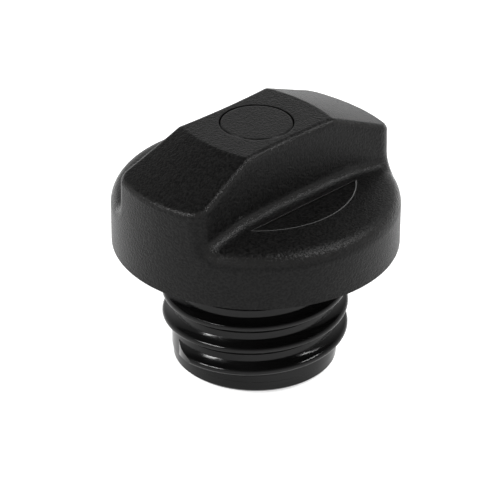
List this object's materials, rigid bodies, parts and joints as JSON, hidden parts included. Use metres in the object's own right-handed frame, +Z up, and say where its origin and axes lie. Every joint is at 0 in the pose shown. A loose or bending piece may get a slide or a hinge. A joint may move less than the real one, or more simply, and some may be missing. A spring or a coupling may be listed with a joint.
{
  "type": "fuel filler cap",
  "caption": "Black screw-in fuel filler cap: round skirted head with a waisted grip, coarse-threaded plug, slipping ratchet and two-way vent valve inside.",
  "frame": {"origin": "centre of the plug's bottom rim, on the screw axis", "axes": "+Z up the screw axis from the plug to the grip, +X along the grip, +Y across it"},
  "size_m": [0.068, 0.068, 0.0615],
  "materials": {
    "head_plastic": "fine-grained satin black moulding",
    "ring_plastic": "plain black moulding",
    "natural_plastic": "natural off-white moulding",
    "plug_plastic": "smooth glossy black moulding",
    "seal_rubber": "dull black rubber",
    "spring_steel": "drawn stainless wire and stamped sheet"
  },
  "bodies": {
    "plug": {"screw_plug": "plug_plastic", "neck_seal": "seal_rubber", "valve_cover": "natural_plastic", "valve_spring": "spring_steel"},
    "head": {"grip_cap": "head_plastic", "cover_disc": "head_plastic", "retaining_ring": "ring_plastic", "ratchet_ring": "natural_plastic"},
    "pressure_valve": {"valve_plate": "natural_plastic", "valve_gasket": "seal_rubber", "vacuum_spring": "spring_steel"},
    "vacuum_valve": {"vacuum_poppet": "natural_plastic", "vacuum_seal": "seal_rubber", "vacuum_clip": "spring_steel"}
  },
  "joints": [
    {"name": "head_slip", "type": "hinge", "parent": "plug", "child": "head", "pos_m": [0, 0, 0.038], "axis": [0, 0, 1], "range_deg": [-270, 0], "deforming": ["ratchet_ring"]},
    {"name": "pressure_lift", "type": "slide", "parent": "plug", "child": "pressure_valve", "axis": [0, 0, 1], "range_m": [0, 0.002], "stiffness_N_per_m": 500, "springref_m": -0.006, "deforming": ["valve_spring"]},
    {"name": "vacuum_drop", "type": "slide", "parent": "pressure_valve", "child": "vacuum_valve", "axis": [0, 0, -1], "range_m": [0, 0.0015], "stiffness_N_per_m": 60, "springref_m": -0.005, "deforming": ["vacuum_spring"]}
  ]
}
